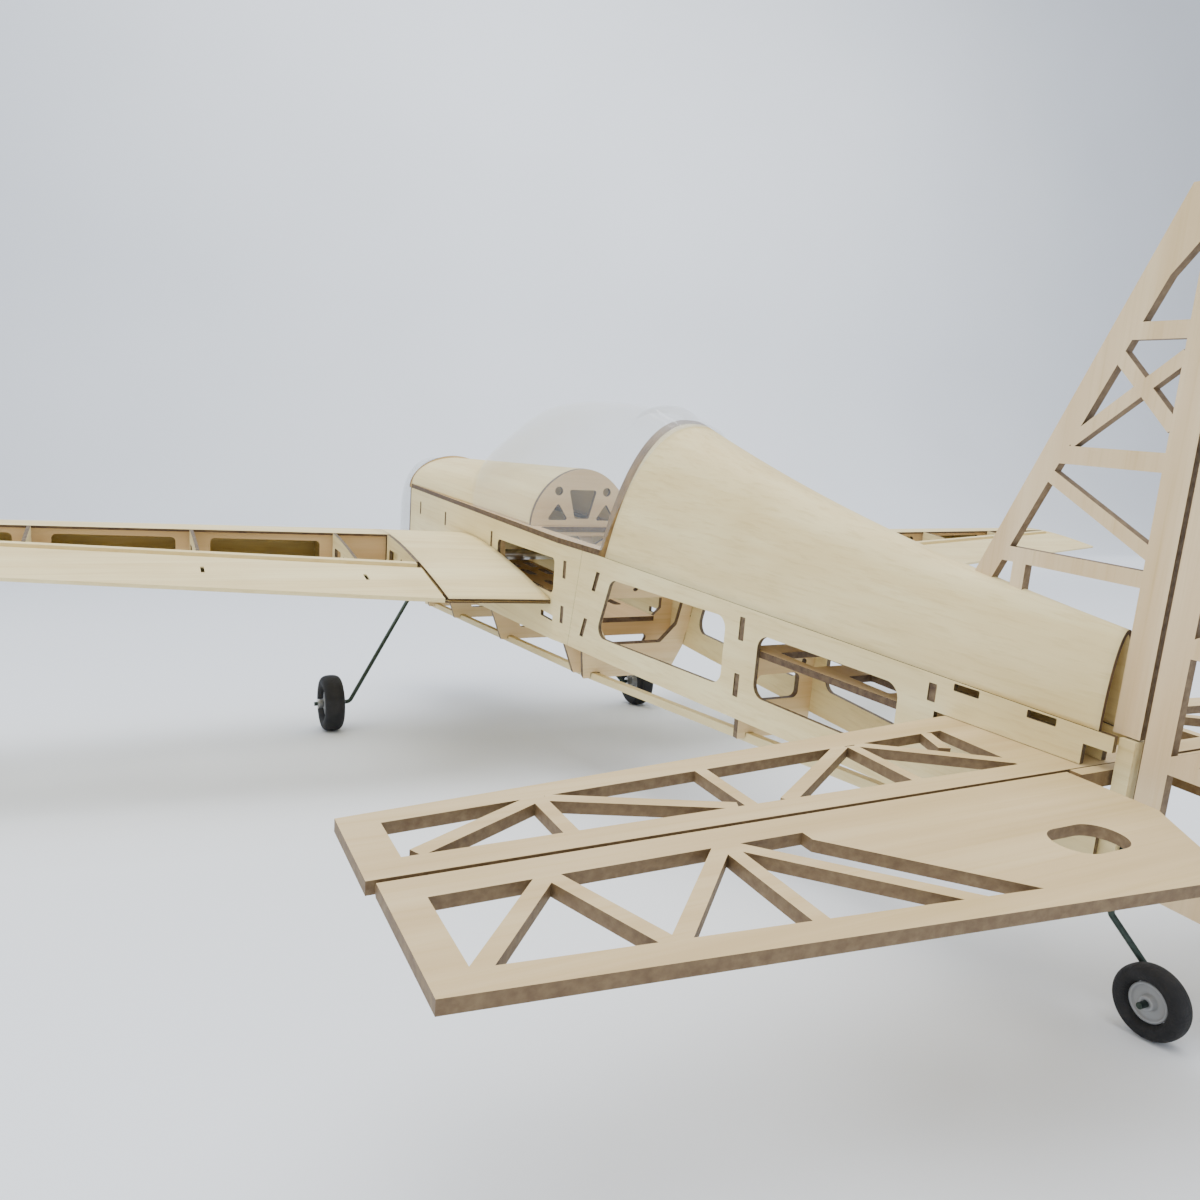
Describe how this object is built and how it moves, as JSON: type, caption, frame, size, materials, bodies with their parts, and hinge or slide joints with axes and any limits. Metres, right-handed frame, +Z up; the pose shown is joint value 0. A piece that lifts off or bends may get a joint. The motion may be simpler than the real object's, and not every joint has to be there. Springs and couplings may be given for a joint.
{
  "type": "model aeroplane airframe",
  "caption": "Uncovered balsa and plywood aerobatic model aeroplane on its wheels, with hinged ailerons, elevator and rudder and a lift-off canopy hatch.",
  "frame": {"origin": "on the ground under the middle of the model, with the model standing on its three wheels", "axes": "+X to the pilot's left, +Y aft, +Z up; the nose points to -Y and is pitched up 8.3 degrees"},
  "size_m": [1.152, 0.7962, 0.2529],
  "materials": {
    "balsa": "bare sanded balsa",
    "plywood": "bare light plywood, laser-cut",
    "clear_plastic": "clear vacuum-formed sheet",
    "tyre_rubber": "foam rubber",
    "hub_plastic": "moulded hub",
    "spring_wire": "dark spring wire",
    "bright_steel": "plated",
    "tube_alloy": "drawn tube"
  },
  "bodies": {
    "airframe": {"battery_tray": "plywood", "belly_stringers": "balsa", "cowl": "clear_plastic", "fin": "balsa", "firewall": "plywood", "former_cockpit_front": "plywood", "former_cockpit_rear": "plywood", "former_nose": "plywood", "former_tail_front": "plywood", "former_tail_rear": "plywood", "former_wing_front": "plywood", "former_wing_rear": "plywood", "gear_block": "plywood", "gear_wires": "spring_wire", "panel_foot": "plywood", "rear_deck": "balsa", "rear_deck_hoop": "plywood", "servo_tray": "plywood", "side_front_left": "balsa", "side_front_right": "balsa", "side_rear_left": "balsa", "side_rear_right": "balsa", "sternpost": "balsa", "tail_wheel_bearing": "plywood", "tailplane": "balsa", "wheel_collars": "bright_steel", "wing_nose_skin_left": "balsa", "wing_nose_skin_right": "balsa", "wing_rear_spar_left": "balsa", "wing_rear_spar_right": "balsa", "wing_ribs_left": "balsa", "wing_ribs_right": "balsa", "wing_root_skin_left": "balsa", "wing_root_skin_right": "balsa", "wing_spar_left": "balsa", "wing_spar_right": "balsa", "wing_tip_left": "balsa", "wing_tip_right": "balsa", "wing_tube": "tube_alloy"},
    "aileron_left": {"aileron_left": "balsa"},
    "aileron_right": {"aileron_right": "balsa"},
    "elevator": {"elevator_left": "balsa", "elevator_right": "balsa", "elevator_joiner": "balsa"},
    "rudder": {"rudder": "balsa", "tail_wheel_wire": "spring_wire"},
    "tail_wheel": {"tail_tyre": "tyre_rubber", "tail_hub": "hub_plastic"},
    "wheel_left": {"tyre_left": "tyre_rubber", "hub_left": "hub_plastic"},
    "wheel_right": {"tyre_right": "tyre_rubber", "hub_right": "hub_plastic"},
    "hatch": {"hatch_frame": "plywood", "hatch_nose_former": "plywood", "front_deck": "balsa", "instrument_panel": "plywood", "canopy": "clear_plastic", "hatch_magnets": "bright_steel"}
  },
  "joints": [
    {"name": "aileron_left_hinge", "type": "hinge", "parent": "airframe", "child": "aileron_left", "pos_m": [0.102, -0.08018, 0.11658], "axis": [0.9834, -0.1715, 0.0599], "range_deg": [-25, 25]},
    {"name": "aileron_right_hinge", "type": "hinge", "parent": "airframe", "child": "aileron_right", "pos_m": [-0.102, -0.08018, 0.11658], "axis": [0.9834, 0.1715, -0.0599], "range_deg": [-25, 25]},
    {"name": "elevator_hinge", "type": "hinge", "parent": "airframe", "child": "elevator", "pos_m": [0, 0.29981, 0.07503], "axis": [1, 0, 0], "range_deg": [-25, 25]},
    {"name": "rudder_hinge", "type": "hinge", "parent": "airframe", "child": "rudder", "pos_m": [0, 0.31501, 0.09262], "axis": [0, 0.1448, 0.9895], "range_deg": [-30, 30]},
    {"name": "tail_wheel_spin", "type": "hinge", "parent": "rudder", "child": "tail_wheel", "pos_m": [0.0006, 0.32025, 0.011], "axis": [1, 0, 0], "continuous": true},
    {"name": "wheel_left_spin", "type": "hinge", "parent": "airframe", "child": "wheel_left", "pos_m": [0.1294, -0.22187, 0.0206], "axis": [1, 0, 0], "continuous": true},
    {"name": "wheel_right_spin", "type": "hinge", "parent": "airframe", "child": "wheel_right", "pos_m": [-0.1294, -0.22187, 0.0206], "axis": [1, 0, 0], "continuous": true},
    {"name": "hatch_lift", "type": "slide", "parent": "airframe", "child": "hatch", "axis": [0, 0.1448, 0.9895], "range_m": [0, 0.12]}
  ],
  "couplings": [
    {"joint": "aileron_right_hinge", "follows": "aileron_left_hinge", "ratio": -1}
  ]
}
